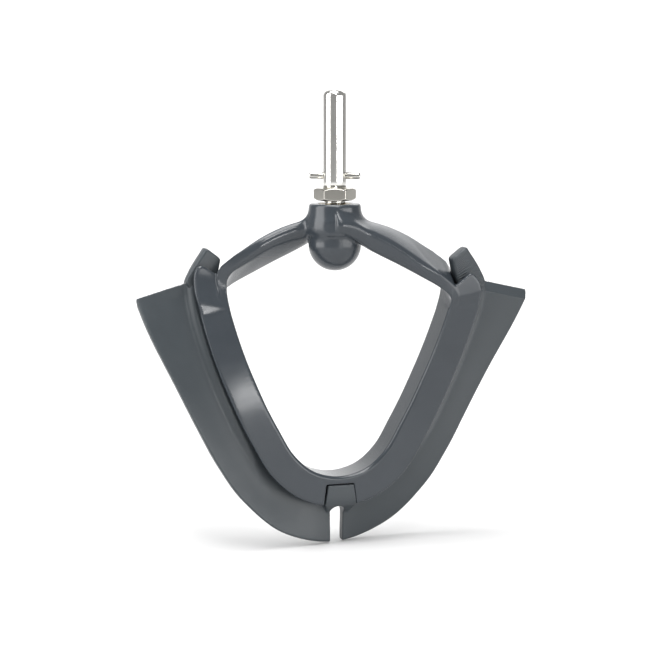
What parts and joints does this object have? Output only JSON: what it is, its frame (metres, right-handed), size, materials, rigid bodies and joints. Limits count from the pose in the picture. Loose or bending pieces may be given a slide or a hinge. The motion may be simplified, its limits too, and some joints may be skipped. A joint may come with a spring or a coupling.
{
  "type": "stand mixer creaming beater",
  "caption": "V-shaped mixer beater: moulded channel loop on two tangent arms with a flexible wiper edge, hanging from a hub on a threaded drive shaft with lock nut and cross pin.",
  "frame": {"origin": "on the drive axis, at the middle of the plain stretch of the drive shaft that the mixer's socket holds", "axes": "+Z along the drive shaft, up and out of the paddle; the loop lies across X and its front face looks along -Y"},
  "size_m": [0.1636, 0.0402, 0.1862],
  "materials": {
    "stainless": "polished",
    "spring_steel": "satin",
    "insert_brass": "satin",
    "frame_plastic": "satin gloss",
    "wiper_elastomer": "satin"
  },
  "bodies": {
    "shaft": {"drive_shaft": "stainless", "drive_pin": "spring_steel"},
    "insert": {"hub_insert": "insert_brass"},
    "paddle": {"paddle_frame": "frame_plastic", "wiper_blade": "wiper_elastomer"},
    "nut": {"lock_nut": "stainless"}
  },
  "joints": [
    {"name": "height_travel", "type": "slide", "parent": "shaft", "child": "insert", "axis": [0, 0, 1], "range_m": [-0.00424, 0.00212]},
    {"name": "paddle_turn", "type": "hinge", "parent": "insert", "child": "paddle", "pos_m": [0, 0, 0], "axis": [0, 0, 1], "range_deg": [-1440, 720]},
    {"name": "lock_nut_turn", "type": "hinge", "parent": "insert", "child": "nut", "pos_m": [0, 0, 0], "axis": [0, 0, 1], "range_deg": [-440, 1080]}
  ],
  "couplings": [
    {"joint": "height_travel", "follows": "paddle_turn", "m_per_rad": 0.00016844}
  ]
}
